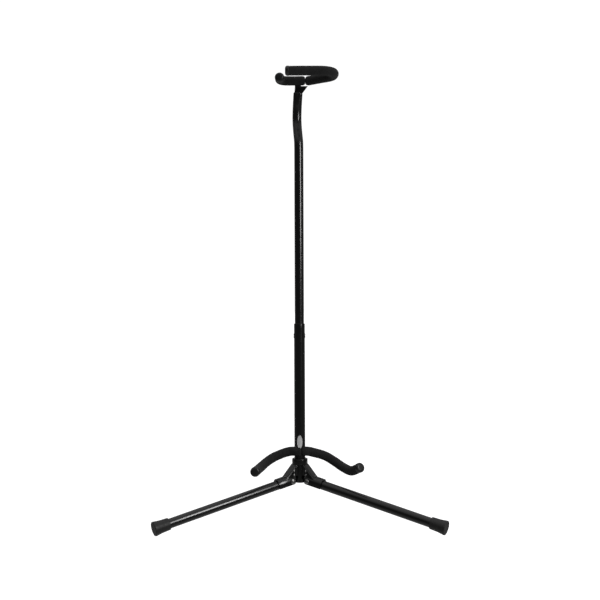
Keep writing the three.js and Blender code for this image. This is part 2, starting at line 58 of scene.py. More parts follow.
# A folding tripod stand for an instrument. Shapes are given in millimetres from the column's foot:
# x to the right, y to the rear, z up. Metres are used once a point is placed.
MM = 0.001
RECORD = frame["record"]
JOINTS = {joint["name"]: joint for joint in frame["joints"]}
COLUMN_X, COLUMN_Y = JOINTS["mast_swivel"]["pos_m"][:2]
BODY_OF = {node: body for body, nodes in RECORD["behaviour"]["bodies"].items() for node in nodes}
SLOT_OF = {part["node"]: part["material_slot"] for part in RECORD["subparts"]}
FULL_TURN = 2 * math.pi
SIDES = ("left", "right", "rear")

# The gap that a moving or pushed-on part leaves, and the closer one of parts that are pressed on.
GAP = 0.3
PRESS_GAP = 0.05

# Legs and their brackets.
LEG_SLOPE = math.radians(11.25)
PIVOT_OUT = 19.5
PIVOT_HEIGHT = 60.8
LEG_RADIUS = 8
LEG_BORE = 6.8
# The inner end is rounded about the pivot's axis, and domed about its middle.
LEG_ROUND_END = 7.7
LEG_DOME_RADIUS = 8.15
LEG_REACH = 255
FOOT_LENGTH = 26.6
FOOT_MOUTH_RADIUS = 9.85
FOOT_MIDDLE_RADIUS = 10.35
FOOT_END_RADIUS = 11.8
FOOT_END_WALL = 5
FOOT_MOUTH_EDGE = 0.7
FOOT_END_EDGE = 1.1
FOOT_LIP = 2.4
FOOT_FLARE_POWER = 1.15
PIVOT_RIVET = (3, 4.6, 2.2)
HUB_CORE_RADIUS = 10.5
HUB_TOP = 88.3
COLLAR_RADIUS = 13.6
COLLAR_TOP = 97.9
BRACKET_INSIDE = 8.4
BRACKET_OUTSIDE = 10.9
BRACKET_DEPTH = 5.2
BRACKET_INNER_EDGE = 14
BRACKET_END = 46
BRACKET_CORNER = [(0, 3.2), (0.35, 2.1), (0.9, 1.1), (1.8, 0.35), (3, 0)]
BRACKET_THROAT = [(10.8, 86.5), (BRACKET_INNER_EDGE, 82)]
HOOD_HALF_WIDTH = 9
HOOD_INSIDE = 6.5
HOOD_CORNER = 1.5
HOOD_TOP_OUT = 12.4
HOOD_FOOT_OUT = 30.1
HOOD_FOOT_HEIGHT = 68.5
LUG_BOTTOM = 69.6
LUG_REACH = 26
RIVET_PLACES = {"upper": (16.5, 78.8), "lower": (16.6, 71.9)}
# A rivet's shank radius, head radius and head height, and the flange under its head.
BRACKET_RIVET = (1.3, 2.2, 1.3)
RIVET_FLANGE = 0.35

# Column.
LOWER_RADIUS = 9.5
LOWER_BORE = 8.3
LOWER_BOTTOM = 58.2
LOWER_TOP = 334.1
UPPER_RADIUS = 8
UPPER_BORE = 6.8
UPPER_BOTTOM = 258
NECK_START = 642
NECK_POINTS = [
    (0, 0, 0), (-0.3, 1.5, 12), (-1.8, 8.5, 30), (-3, 15, 50),
    (-2.8, 13.5, 68), (-1.9, 8, 84), (-1, 3, 97),
]
PLUG_BOTTOM = 56.5
PLUG_SHOULDER = 58.1
PLUG_TOP = 68.2
CLAMP_HEIGHT = 311.7

# Padded rods.
ROD_RADIUS = 3.5
FOAM_RADIUS = 7.8
FOAM_BORE = 4.2
CAP_SEAT = 3.8
ROD_IN_CAP = 3.7
CRADLE_HEIGHT = 111.2
CRADLE_POINTS = [
    (-73.8, -86, 92), (-72.7, -62, 89), (-67, -40, 90.3), (-57, -20, 95.7), (-43, -7, 102.4),
    (-24, -1.5, 108.7), (-8, 0, CRADLE_HEIGHT), (8, 0, CRADLE_HEIGHT), (25, 1.5, 107.6),
    (45, 0, 101.5), (61, -9, 93.5), (75, -25, 86.5), (87, -45, 84.8), (100.6, -68, 94.8),
]
# The cradle's two foam sleeves are pushed up to the column, and close over its front.
FOAM_MEETING = 3
FOAM_MEETING_GAP = 0.4
FOAM_BULGE = 6.5
FOAM_BULGE_REACH = 16
YOKE_HEIGHT = 760
YOKE_CORNERS = [
    (-32.8, -24, 0), (-32.8, 0, 12), (17.3, 0, 20), (112, -64.9, 23), (-19.4, -64.9, 0),
]
SHORT_FOAM_X = 11.6
LONG_FOAM_X = 12


# ---------------------------------------------------------------- paths

CURVE_STEPS = 30
BEND_STEPS = 40
STRAIGHT_STEP = 3
BEND_SPAN = 1.5


def at(x, y, z):
    return np.array([COLUMN_X + x * MM, COLUMN_Y + y * MM, z * MM])


def unit(vectors):
    return vectors / np.linalg.norm(vectors, axis=-1, keepdims=True)


class Path:
    """A line of points, with a frame at every distance that twists as little as it can."""

    def __init__(self, points):
        self.points = np.asarray(points, float)
        gaps = np.diff(self.points, axis=0)
        lengths = np.linalg.norm(gaps, axis=1)
        self.distance = np.concatenate(([0.0], np.cumsum(lengths)))
        self.length = self.distance[-1]
        slopes = gaps / lengths[:, None]
        self.tangents = unit(np.vstack((slopes[:1], slopes[:-1] + slopes[1:], slopes[-1:])))
        steep = abs(self.tangents[0][2]) >= 0.9
        reference = np.array([1.0, 0.0, 0.0] if steep else [0.0, 0.0, 1.0])
        side = np.cross(self.tangents[0], reference)
        sides = []
        for tangent in self.tangents:
            side = unit(side - side.dot(tangent) * tangent)
            sides.append(side)
        self.sides = np.array(sides)

    def frames(self, s):
        """Points, tangents, sides and ups at distances, running straight on past the ends."""
        s = np.atleast_1d(np.asarray(s, float))
        inside = np.clip(s, 0, self.length)

        def take(table):
            return np.stack([np.interp(inside, self.distance, table[:, i]) for i in range(3)], axis=1)

        tangents = unit(take(self.tangents))
        points = take(self.points) + tangents * (s - inside)[:, None]
        sides = take(self.sides)
        sides = unit(sides - (sides * tangents).sum(1)[:, None] * tangents)
        return points, tangents, sides, np.cross(tangents, sides)

    def bend(self, s):
        """The curvature vector at distances."""
        step = BEND_SPAN * MM
        ahead = self.frames(np.asarray(s) + step)[1]
        behind = self.frames(np.asarray(s) - step)[1]
        return (ahead - behind) / (2 * step)

    def distance_at_x(self, x, start, end):
        """The distance between two others at which the path crosses a value of x."""
        span = np.linspace(start, end, 4000)
        return span[np.argmin(np.abs(self.frames(span)[0][:, 0] - x))]


def spline(points):
    """A centripetal Catmull-Rom curve through the points."""
    p = np.array([at(*point) for point in points])
    p = np.vstack((2 * p[0] - p[1], p, 2 * p[-1] - p[-2]))
    out = []
    for i in range(1, len(p) - 2):
        p0, p1, p2, p3 = p[i - 1:i + 3]
        d0, d1, d2 = (math.sqrt(np.linalg.norm(b - a)) for a, b in ((p0, p1), (p1, p2), (p2, p3)))
        m1 = ((p1 - p0) / d0 - (p2 - p0) / (d0 + d1) + (p2 - p1) / d1) * d1
        m2 = ((p2 - p1) / d1 - (p3 - p1) / (d1 + d2) + (p3 - p2) / d2) * d1
        for t in np.arange(CURVE_STEPS) / CURVE_STEPS:
            out.append(
                (2 * t**3 - 3 * t**2 + 1) * p1 + (t**3 - 2 * t**2 + t) * m1
                + (3 * t**2 - 2 * t**3) * p2 + (t**3 - t**2) * m2
            )
    out.append(p[-2])
    return out


def straight(start, end):
    count = max(1, round(float(np.linalg.norm(end - start)) / (STRAIGHT_STEP * MM)))
    return [start + (end - start) * i / count for i in range(count)]


def bent(corners, height):
    """Straight lengths joined by bends. Each corner is (x, y, bend radius)."""
    points = [at(x, y, height) for x, y, _ in corners]
    out = []
    start = points[0]
    for before, corner, after, (_, _, radius) in zip(points, points[1:], points[2:], corners[1:]):
        back, ahead = unit(before - corner), unit(after - corner)
        turn = math.pi - math.acos(float(back.dot(ahead)))
        reach = radius * MM * math.tan(turn / 2)
        centre = corner + unit(back + ahead) * radius * MM / math.cos(turn / 2)
        first, last = corner + back * reach - centre, corner + ahead * reach - centre
        out += straight(start, centre + first)
        for t in np.arange(BEND_STEPS) / BEND_STEPS:
            arc = (math.sin((1 - t) * turn) * first + math.sin(t * turn) * last) / math.sin(turn)
            out.append(centre + arc)
        start = centre + last
    return out + straight(start, points[-1]) + [points[-1]]


# ---------------------------------------------------------------- shapes

SHARP_ANGLE = 32
WAVES = 6


def wobble(points, size, seed):
    """Smooth unevenness, mostly from -1 to 1, of about that size, the same at every run."""
    rng = np.random.default_rng(seed)
    directions = unit(rng.normal(size=(WAVES, 3))) * FULL_TURN / (size * MM)
    phases = rng.uniform(0, FULL_TURN, WAVES)
    return np.sin(points @ directions.T + phases).sum(-1) / math.sqrt(WAVES) * 0.7


def spokes(across, lift, count):
    """Directions round each point of a line, from one across it towards another."""
    angles = np.arange(count) * FULL_TURN / count
    turned = np.cos(angles)[None, :, None] * across[:, None]
    return turned + np.sin(angles)[None, :, None] * lift[:, None]


def circle(radius, count):
    angles = np.arange(count) * FULL_TURN / count
    return [(radius * math.cos(a), radius * math.sin(a)) for a in angles]


def mesh_object(name, mesh, sharp=SHARP_ANGLE):
    made = bmesh.new()
    made.from_mesh(mesh)
    bmesh.ops.remove_doubles(made, verts=made.verts, dist=1e-7)
    bmesh.ops.recalc_face_normals(made, faces=made.faces)
    made.to_mesh(mesh)
    made.free()
    mesh.shade_smooth()
    mesh.set_sharp_from_angle(angle=math.radians(sharp))
    obj = bpy.data.objects.new(name, mesh)
    bpy.context.scene.collection.objects.link(obj)
    return obj


def surface(name, grid, closed=False, sharp=SHARP_ANGLE):
    """A skin over rings of points. A closed one joins its last ring to its first."""
    rings, around = grid.shape[:2]
    mesh = bpy.data.meshes.new(name)
    faces = []
    for i in range(rings if closed else rings - 1):
        low, high = i * around, ((i + 1) % rings) * around
        for j in range(around):
            k = (j + 1) % around
            faces.append((low + j, low + k, high + k, high + j))
    mesh.from_pydata(grid.reshape(-1, 3).tolist(), [], faces)
    return mesh_object(name, mesh, sharp)


def turned_grid(path, profile, around=48, warp=None):
    """Rings of points round a path, from a profile of (distance, radius) in millimetres."""
    profile = np.asarray(profile, float) * MM
    points, _, sides, ups = path.frames(profile[:, 0])
    direction = spokes(sides, ups, around)
    radius = np.repeat(profile[:, 1:2], around, axis=1)
    if warp is not None:
        placed = points[:, None] + radius[..., None] * direction
        radius = radius + warp(profile[:, 0], direction, placed, radius)
    return points[:, None] + radius[..., None] * direction


def corner(along, radius, size, first, last, steps=5):
    """Points round an edge of a profile. (along, radius) is the arc's centre; angles in degrees."""
    angles = np.radians(np.linspace(first, last, steps + 1))
    return [(along + size * math.cos(a), radius + size * math.sin(a)) for a in angles]


def sleeve(start, end, outer, inner, edges, step):
    """A hollow sleeve's profile, each end's outer edge rounded over its own length."""
    first, last = edges
    count = max(2, round((end - start - first - last) / step))
    outside = [(s, outer) for s in np.linspace(start + first, end - last, count + 1)[1:-1]]
    inside = [(s, inner) for s in np.linspace(end, start, count // 2 + 2)]

    def rounded(length, centre, angles):
        fall = min(length, outer - inner - 0.3)
        return [
            (centre + length * math.cos(a), outer - fall + fall * math.sin(a))
            for a in np.radians(angles)
        ]

    return (
        rounded(first, start + first, np.linspace(180, 90, 7)) + outside
        + rounded(last, end - last, np.linspace(90, 0, 7)) + inside
    )


def prism(outline, low, high, matrix):
    """An outline of (u, v) in millimetres, thickened along w, as an object placed by a matrix."""
    mesh = bpy.data.meshes.new("prism")
    count = len(outline)
    points = [matrix @ (Vector((u, v, w)) * MM) for w in (low, high) for u, v in outline]
    around = [(i, (i + 1) % count, (i + 1) % count + count, i + count) for i in range(count)]
    ends = [tuple(range(count))[::-1], tuple(range(count, 2 * count))]
    mesh.from_pydata([tuple(p) for p in points], [], around + ends)
    return mesh_object("cutter", mesh)


def applied(obj):
    """The object with its modifiers made real."""
    graph = bpy.context.evaluated_depsgraph_get()
    mesh = bpy.data.meshes.new_from_object(obj.evaluated_get(graph))
    obj.modifiers.clear()
    obj.data = mesh
    return obj


def combined(base, operation, *others):
    """Adds, cuts or keeps what is shared with the others, which are used up."""
    for other in others:
        boolean = base.modifiers.new("combine", "BOOLEAN")
        boolean.operation = operation
        boolean.solver = "EXACT"
        boolean.object = other
        applied(base)
        bpy.data.objects.remove(other)
    return base


def shaded(obj):
    obj.data.shade_smooth()
    obj.data.set_sharp_from_angle(angle=math.radians(SHARP_ANGLE))
    return obj


def eased(obj, width):
    """Rounds the sharp edges."""
    bevel = obj.modifiers.new("edges", "BEVEL")
    bevel.width = width * MM
    bevel.segments = 3
    bevel.limit_method = "ANGLE"
    bevel.angle_limit = math.radians(35)
    bevel.use_clamp_overlap = True
    return shaded(applied(obj))


def placed_copy(name, source, matrix):
    mesh = source.data.copy()
    mesh.transform(matrix)
    obj = bpy.data.objects.new(name, mesh)
    bpy.context.scene.collection.objects.link(obj)
    return obj


# ---------------------------------------------------------------- finishes

class Nodes:
    """A material's node tree, with short calls for what the finishes share."""

    def __init__(self, name):
        self.material = bpy.data.materials.new(name)
        self.material.use_nodes = True
        self.tree = self.material.node_tree
        self.shader = self.tree.nodes["Principled BSDF"]
        self.place = self.add("ShaderNodeTexCoord").outputs["Object"]
        self.height = None

    def add(self, kind, **values):
        node = self.tree.nodes.new(kind)
        for key, value in values.items():
            if key in node.inputs:
                node.inputs[key].default_value = value
            else:
                setattr(node, key, value)
        return node

    def link(self, output, socket):
        self.tree.links.new(output, socket)

    def noise(self, size, detail=3.0, roughness=0.55):
        """Noise whose features are about that many millimetres across."""
        scale = 1 / (size * MM)
        node = self.add("ShaderNodeTexNoise", Scale=scale, Detail=detail, Roughness=roughness)
        self.link(self.place, node.inputs["Vector"])
        return node.outputs["Fac"]

    def cells(self, size):
        """Rounded cells about that many millimetres across."""
        node = self.add("ShaderNodeTexVoronoi", Scale=1 / (size * MM))
        self.link(self.place, node.inputs["Vector"])
        return node.outputs["Distance"]

    def ramp(self, value, low, high, first, last):
        """Maps values from low to high onto first to last."""
        node = self.add("ShaderNodeMapRange")
        ends = {"From Min": low, "From Max": high, "To Min": first, "To Max": last}
        for socket, number in ends.items():
            node.inputs[socket].default_value = number
        self.link(value, node.inputs["Value"])
        return node.outputs["Result"]

    def colours(self, value, stops):
        node = self.add("ShaderNodeValToRGB")
        ramp = node.color_ramp
        while len(ramp.elements) < len(stops):
            ramp.elements.new(0.5)
        for element, (position, colour) in zip(ramp.elements, stops):
            element.position = position
            element.color = (*colour, 1)
        self.link(value, node.inputs["Fac"])
        return node.outputs["Color"]

    def base(self, output):
        self.link(output, self.shader.inputs["Base Color"])

    def rough(self, output):
        self.link(output, self.shader.inputs["Roughness"])

    def bump(self, value, depth, strength=1.0):
        node = self.add("ShaderNodeBump", Strength=strength, Distance=depth * MM)
        self.link(value, node.inputs["Height"])
        if self.height is not None:
            self.link(self.height, node.inputs["Normal"])
        self.height = node.outputs["Normal"]
        self.link(self.height, self.shader.inputs["Normal"])

    def set(self, **values):
        for key, value in values.items():
            self.shader.inputs[key.replace("_", " ")].default_value = value


METAL_GRAIN = 1.2


def grey(value, warmth=0.0):
    return (value * (1 + warmth), value, value * (1 - warmth))


def black_paint():
    """Gloss black enamel with a little orange peel, dust and fine scuffs."""
    n = Nodes("black_paint")
    shades = [(0.3, grey(0.004)), (0.6, grey(0.006)), (0.8, grey(0.010, 0.03))]
    n.base(n.colours(n.noise(14, 4.0, 0.6), shades))
    n.rough(n.ramp(n.noise(9, 5.0, 0.6), 0.3, 0.75, 0.2, 0.3))
    n.bump(n.noise(7, 1.0), 0.002)
    n.set(Coat_Weight=0.3, Coat_Roughness=0.12, IOR=1.5)
    return n.material


def foam():
    """Closed-cell foam rubber: matt, fine pores, slightly mottled, with painted shade in the pores'
    hollows.
    """
    n = Nodes("foam")
    mottle = n.noise(7, 4.0, 0.65)
    pores = n.cells(0.75)
    shade = n.add("ShaderNodeMath", operation="MULTIPLY")
    n.link(mottle, shade.inputs[0])
    # Painted shade: the colour darkens towards each pore's middle, where the bump dips.
    n.link(n.ramp(pores, 0.05, 0.6, 0.72, 1.0), shade.inputs[1])
    shades = [(0.18, grey(0.006)), (0.5, grey(0.011)), (0.78, grey(0.019, 0.02))]
    n.base(n.colours(shade.outputs["Value"], shades))
    n.rough(n.ramp(n.noise(3, 3.0), 0.3, 0.7, 0.82, 0.96))
    n.bump(pores, 0.09, 0.7)
    n.bump(n.noise(2.4, 4.0, 0.7), 0.12, 0.6)
    n.set(IOR=1.4, Sheen_Weight=0.06, Sheen_Roughness=0.6)
    return n.material


def rubber():
    """Moulded rubber, satin, a little dusty."""
    n = Nodes("rubber")
    shades = [(0.2, grey(0.010)), (0.6, grey(0.018)), (0.85, grey(0.04, 0.05))]
    n.base(n.colours(n.noise(5, 5.0, 0.65), shades))
    n.rough(n.ramp(n.noise(4, 4.0), 0.3, 0.7, 0.42, 0.62))
    n.bump(n.noise(0.8, 3.0), 0.02)
    n.set(IOR=1.5)
    return n.material


def black_plastic():
    """Moulded black plastic with a fine grain."""
    n = Nodes("black_plastic")
    shades = [(0.2, grey(0.008)), (0.7, grey(0.014)), (0.9, grey(0.024))]
    n.base(n.colours(n.noise(4, 5.0, 0.6), shades))
    n.rough(n.ramp(n.noise(2.5, 4.0), 0.3, 0.7, 0.3, 0.44))
    n.bump(n.noise(0.6, 2.0), 0.012)
    n.set(IOR=1.5)
    return n.material


def metal(name, dark, light, tint, rough_low, rough_high):
    """A metal, a little uneven in tone and in gloss."""
    n = Nodes(name)
    shades = [(place, tuple(value * c for c in tint)) for place, value in ((0.3, dark), (0.7, light))]
    n.base(n.colours(n.noise(METAL_GRAIN * 3, 5.0, 0.65), shades))
    n.rough(n.ramp(n.noise(METAL_GRAIN, 4.0), 0.3, 0.7, rough_low, rough_high))
    n.bump(n.noise(METAL_GRAIN / 3, 2.0), 0.006)
    n.set(Metallic=1.0)
    return n.material


def foil():
    """A bright satin face, a little uneven."""
    n = Nodes("badge")
    n.base(n.colours(n.noise(5, 4.0), [(0.3, grey(0.68)), (0.7, grey(0.84))]))
    n.rough(n.ramp(n.noise(2, 3.0), 0.3, 0.7, 0.3, 0.44))
    n.bump(n.noise(0.9, 2.0), 0.006)
    return n.material


def nylon():
    """Off-white nylon."""
    n = Nodes("nylon")
    n.base(n.colours(n.noise(6, 3.0), [(0.3, grey(0.62, 0.03)), (0.7, grey(0.72, 0.03))]))
    n.rough(n.ramp(n.noise(2, 3.0), 0.3, 0.7, 0.45, 0.6))
    n.bump(n.noise(0.7, 2.0), 0.01)
    return n.material


FINISHES = {
    "black_paint": black_paint(),
    "foam": foam(),
    "rubber": rubber(),
    "black_plastic": black_plastic(),
    "rivet_steel": metal("rivet_steel", 0.2, 0.34, (1, 0.99, 0.97), 0.24, 0.4),
    "zinc_steel": metal("zinc_steel", 0.5, 0.62, (0.97, 0.98, 1.0), 0.26, 0.42),
    "badge": foil(),
    "brass": metal("brass", 0.55, 0.68, (1.0, 0.76, 0.38), 0.28, 0.4),
    "nylon": nylon(),
}


def finished(obj, slot):
    obj.data.materials.clear()
    obj.data.materials.append(FINISHES[slot])


def fitted(obj, node):
    """The piece takes the place, the body and the finish of a CAD node."""
    finished(obj, SLOT_OF[node])
    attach(obj, BODY_OF[node])
    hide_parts(node)
    return obj


def extra(obj, body, slot):
    """A piece with no CAD node of its own."""
    finished(obj, slot)
    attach(obj, body)
    return obj


def bead(name, points, radius, seed):
    """A weld bead: an uneven roll of metal along a closed line of points."""
    points = np.asarray(points)
    tangents = unit(np.roll(points, -1, axis=0) - np.roll(points, 1, axis=0))
    outward = points - points.mean(axis=0)
    outward = unit(outward - (outward * tangents).sum(1)[:, None] * tangents)
    size = radius * MM * (1 + 0.16 * wobble(points, 3.5, seed))
    around = spokes(outward, np.cross(tangents, outward), 12)
    return surface(name, points[:, None] + size[:, None, None] * around, closed=True)


def weld(name, body, line, radius, seed):
    """A weld bead along a closed line, given as a function of the angle round it."""
    angles = np.arange(72) * FULL_TURN / 72
    extra(bead(name, [line(a) for a in angles], radius, seed), body, "black_paint")


def column_surface(across):
    """How far the column's surface is from its axis, that much to one side."""
    return math.sqrt(LOWER_RADIUS**2 - across**2)


# ---------------------------------------------------------------- legs and hub

def plane_of(side):
    """The upright plane of a leg: X runs out from the column, Y across the leg."""
    x, y, _ = JOINTS[f"leg_fold_{side}"]["pos_m"]
    turn = math.atan2(y - COLUMN_Y, x - COLUMN_X)
    return Matrix.Translation((COLUMN_X, COLUMN_Y, 0)) @ Matrix.Rotation(turn, 4, "Z")


def leg_path(side):
    plane = plane_of(side)
    pivot = plane @ (Vector((PIVOT_OUT, 0, PIVOT_HEIGHT)) * MM)
    down = plane.to_3x3() @ Vector((math.cos(LEG_SLOPE), 0, -math.sin(LEG_SLOPE)))
    return Path([np.array(pivot), np.array(pivot + down * LEG_REACH * MM)])


def leg_tube(side):
    path = leg_path(side)
    end = LEG_REACH - FOOT_END_WALL - GAP
    profile = sleeve(-LEG_ROUND_END, end, LEG_RADIUS, LEG_BORE, (0.3, 0.3), 8)
    grid = turned_grid(path, profile, 56)
    # Points past the inner end are drawn in to it, so that it can turn under the bracket's roof.
    down = path.tangents[0]
    across = np.array(plane_of(side).to_3x3() @ Vector((0, 1, 0)))
    rise = np.cross(down, across)
    offset = grid - path.points[0]
    along, height = offset @ down, offset @ rise
    domed = (LEG_DOME_RADIUS * MM) ** 2 - (offset @ across) ** 2
    reach = np.minimum((LEG_ROUND_END * MM) ** 2, domed)
    limit = -np.sqrt(np.maximum(reach - height**2, 0))
    drawn_in = np.where(along < 0, np.maximum(along, limit), along)
    grid = grid + (drawn_in - along)[..., None] * down
    return fitted(surface(f"leg_{side}_tube", grid, closed=True), f"leg_tube_{side}")


def foot(side):
    seat, mouth = LEG_REACH - FOOT_END_WALL, LEG_REACH - FOOT_LENGTH
    middle = LEG_REACH - FOOT_LENGTH / 2
    lip = LEG_REACH - FOOT_LIP
    bore = LEG_RADIUS + PRESS_GAP
    widening = FOOT_END_RADIUS - FOOT_MIDDLE_RADIUS
    profile = [(seat, 0), (seat, bore), (mouth + 0.4, bore), (mouth, LEG_RADIUS + 0.4)]
    edge = FOOT_MOUTH_EDGE
    profile += corner(mouth + edge, FOOT_MOUTH_RADIUS - edge, edge, 180, 90)
    for s in np.linspace(mouth + 1, middle, 7):
        profile.append((s, FOOT_MOUTH_RADIUS + 0.5 * ((s - mouth) / (middle - mouth))))
    for s in np.linspace(middle, lip, 14)[1:]:
        share = ((s - middle) / (lip - middle)) ** FOOT_FLARE_POWER
        profile.append((s, FOOT_MIDDLE_RADIUS + widening * share))
    edge = FOOT_END_EDGE
    profile += corner(LEG_REACH - edge, FOOT_END_RADIUS - edge, edge, 90, 0, 6)
    profile += [(LEG_REACH, radius) for radius in (8, 6, 4, 2, 0)]
    grid = turned_grid(leg_path(side), profile, 96)
    grid[..., 2] = np.maximum(grid[..., 2], 0.0)
    return fitted(surface(f"foot_{side}_rubber", grid), f"foot_{side}")


SECTION_STEPS = 40
# Axes of a prism's outline and thickness in a leg's plane.
ALONG_X = Matrix(((0, 0, 1, 0), (1, 0, 0, 0), (0, 1, 0, 0), (0, 0, 0, 1)))
ALONG_Y = Matrix(((1, 0, 0, 0), (0, 0, -1, 0), (0, 1, 0, 0), (0, 0, 0, 1)))
ALONG_Z = Matrix.Identity(4)
FAR = 60


def arch(half_width, edge, start, end, matrix):
    """A channel's section, open below, with its top corners rounded."""
    reach = half_width - edge
    quarter = np.radians(np.linspace(0, 90, SECTION_STEPS // 2 + 1))
    right = [(reach + edge * math.cos(a), reach + edge * math.sin(a)) for a in quarter]
    left = [(-x, y) for x, y in reversed(right) if x > 1e-6]
    outline = [(-half_width, -FAR), (half_width, -FAR)] + right + left
    return prism(outline, start, end, matrix @ ALONG_X)


def round_bar(radius, low, high, matrix):
    return prism(circle(radius, 96), low, high, matrix)


def channel(radius):
    """The bracket's lower part, along the leg, with a half-round roof."""
    pivot = Matrix.Translation((PIVOT_OUT * MM, 0, PIVOT_HEIGHT * MM))
    return arch(radius, radius, -FAR, 2 * FAR, pivot @ Matrix.Rotation(LEG_SLOPE, 4, "Y"))


def hood(half_width):
    """The bracket's upper part, sloping down from the collar."""
    slope = math.atan2(HUB_TOP - HOOD_FOOT_HEIGHT, HOOD_FOOT_OUT - HOOD_TOP_OUT)
    matrix = (
        Matrix.Translation((HOOD_TOP_OUT * MM, 0, HUB_TOP * MM)) @ Matrix.Rotation(slope, 4, "Y")
        @ Matrix.Translation((0, 0, -HOOD_HALF_WIDTH * MM))
    )
    edge = max(HOOD_CORNER - (HOOD_HALF_WIDTH - half_width), 0.5)
    return arch(half_width, edge, -FAR, FAR, matrix)


def bracket_shape():
    def bottom(out):
        line = PIVOT_HEIGHT - (out - PIVOT_OUT) * math.tan(LEG_SLOPE)
        return line - BRACKET_DEPTH / math.cos(LEG_SLOPE)

    end_top = BRACKET_END + BRACKET_OUTSIDE * math.sin(LEG_SLOPE)
    end_bottom = BRACKET_END - BRACKET_DEPTH * math.sin(LEG_SLOPE)
    end_height = (BRACKET_DEPTH + BRACKET_OUTSIDE) / math.cos(LEG_SLOPE)
    side_view = [(BRACKET_THROAT[0][0], HUB_TOP)] + BRACKET_THROAT
    for out, up in BRACKET_CORNER:
        side_view.append((BRACKET_INNER_EDGE + out, bottom(BRACKET_INNER_EDGE + out) + up))
    side_view += [
        (end_bottom, bottom(end_bottom)), (end_top, bottom(end_top) + end_height), (end_top, HUB_TOP),
    ]
    outside = combined(channel(BRACKET_OUTSIDE), "UNION", hood(HOOD_HALF_WIDTH))
    inside = combined(channel(BRACKET_INSIDE), "UNION", hood(HOOD_INSIDE))
    shell = prism(side_view, -FAR / 2, FAR / 2, ALONG_Y)
    combined(shell, "INTERSECT", outside)
    combined(shell, "DIFFERENCE", inside, round_bar(HUB_CORE_RADIUS + 0.1, 0, 2 * FAR, ALONG_Z))
    return eased(shell, 0.45)


def hub_core():
    core = round_bar(HUB_CORE_RADIUS, LOWER_BOTTOM, HUB_TOP, ALONG_Z)
    for side in SIDES:
        box = [(0, LUG_BOTTOM), (LUG_REACH, LUG_BOTTOM), (LUG_REACH, HUB_TOP), (0, HUB_TOP)]
        lug = prism(box, -HOOD_INSIDE, HOOD_INSIDE, ALONG_Y)
        combined(lug, "INTERSECT", hood(HOOD_INSIDE - 0.2))
        lug.data.transform(plane_of(side).to_3x3().to_4x4())
        combined(core, "UNION", lug)
    combined(core, "DIFFERENCE", round_bar(LOWER_RADIUS + 0.1, 0, 2 * FAR, ALONG_Z))
    eased(core, 0.5)
    core.data.transform(Matrix.Translation((COLUMN_X, COLUMN_Y, 0)))
    core.name = "hub_core_casting"
    return fitted(core, "hub_core")


def rivet(side, name, node, place, seat, measures):
    """A rivet through both cheeks of a bracket, with a domed head on a thin flange at each end."""
    out, height = place
    radius, head_radius, head_height = measures
    matrix = plane_of(side)
    middle = matrix @ (Vector((out, 0, height)) * MM)
    across = matrix.to_3x3() @ Vector((0, 1, 0))
    half = seat + RIVET_FLANGE + head_height
    path = Path([np.array(middle + across * way * half * MM) for way in (-1, 1)])
    dome = [(0, 0)]
    for a in np.radians(np.linspace(8, 82, 9)):
        dome.append((head_height * 0.86 * (1 - math.cos(a)), head_radius * 0.9 * math.sin(a)))
    dome += [
        (head_height * 0.8, head_radius * 0.97), (head_height * 0.92, head_radius),
        (head_height + 0.3, head_radius), (head_height + RIVET_FLANGE, radius),
    ]
    profile = dome + [(2 * half - s, r) for s, r in reversed(dome)]
    return fitted(surface(name, turned_grid(path, profile, 40), sharp=40), node)


bracket_source = bracket_shape()
for side in SIDES:
    leg_tube(side)
    foot(side)
    pressing = placed_copy(f"bracket_{side}_pressing", bracket_source, plane_of(side))
    fitted(pressing, f"leg_bracket_{side}")
    pivot = (PIVOT_OUT, PIVOT_HEIGHT)
    rivet(side, f"pivot_{side}_rivet", f"leg_pivot_{side}", pivot, BRACKET_OUTSIDE, PIVOT_RIVET)
    for level, place in RIVET_PLACES.items():
        node = f"bracket_rivet_{side}_{level}"
        rivet(side, f"rivet_{side}_{level}_head", node, place, HOOD_HALF_WIDTH, BRACKET_RIVET)
bpy.data.objects.remove(bracket_source)
hub_core()

COLUMN_AXIS = Path([at(0, 0, 0), at(0, 0, 500)])


def on_column(name, node, profile, closed=False):
    return fitted(surface(name, turned_grid(COLUMN_AXIS, profile, 64), closed), node)


on_column(
    "hub_collar_ring", "hub_collar",
    [(HUB_TOP, LOWER_RADIUS + PRESS_GAP)] + corner(HUB_TOP + 0.5, COLLAR_RADIUS - 0.5, 0.5, 180, 90)
    + [(COLLAR_TOP - 5, COLLAR_RADIUS)] + corner(COLLAR_TOP - 1.1, COLLAR_RADIUS - 1.1, 1.1, 90, 0, 7)
    + [(COLLAR_TOP, LOWER_RADIUS + 0.7), (COLLAR_TOP - 0.6, LOWER_RADIUS + PRESS_GAP)],
    closed=True,
)
on_column(
    "hub_plug_cap", "hub_plug",
    [(PLUG_BOTTOM, 0), (PLUG_BOTTOM, 6)] + corner(PLUG_BOTTOM + 0.7, LOWER_RADIUS - 0.7, 0.7, 180, 90)
    + [(PLUG_SHOULDER, LOWER_RADIUS), (PLUG_SHOULDER, LOWER_BORE - GAP)]
    + [(PLUG_TOP, LOWER_BORE - GAP - 0.1), (PLUG_TOP, 0)],
)
on_column(
    "lower_column_tube", "lower_tube",
    sleeve(LOWER_BOTTOM, LOWER_TOP, LOWER_RADIUS, LOWER_BORE, (0.45, 0.45), 8), closed=True,
)


# ---------------------------------------------------------------- badge

BADGE_HEIGHT = 128
BADGE_HALF_WIDTH = 4.6
BADGE_HALF_HEIGHT = 11.5
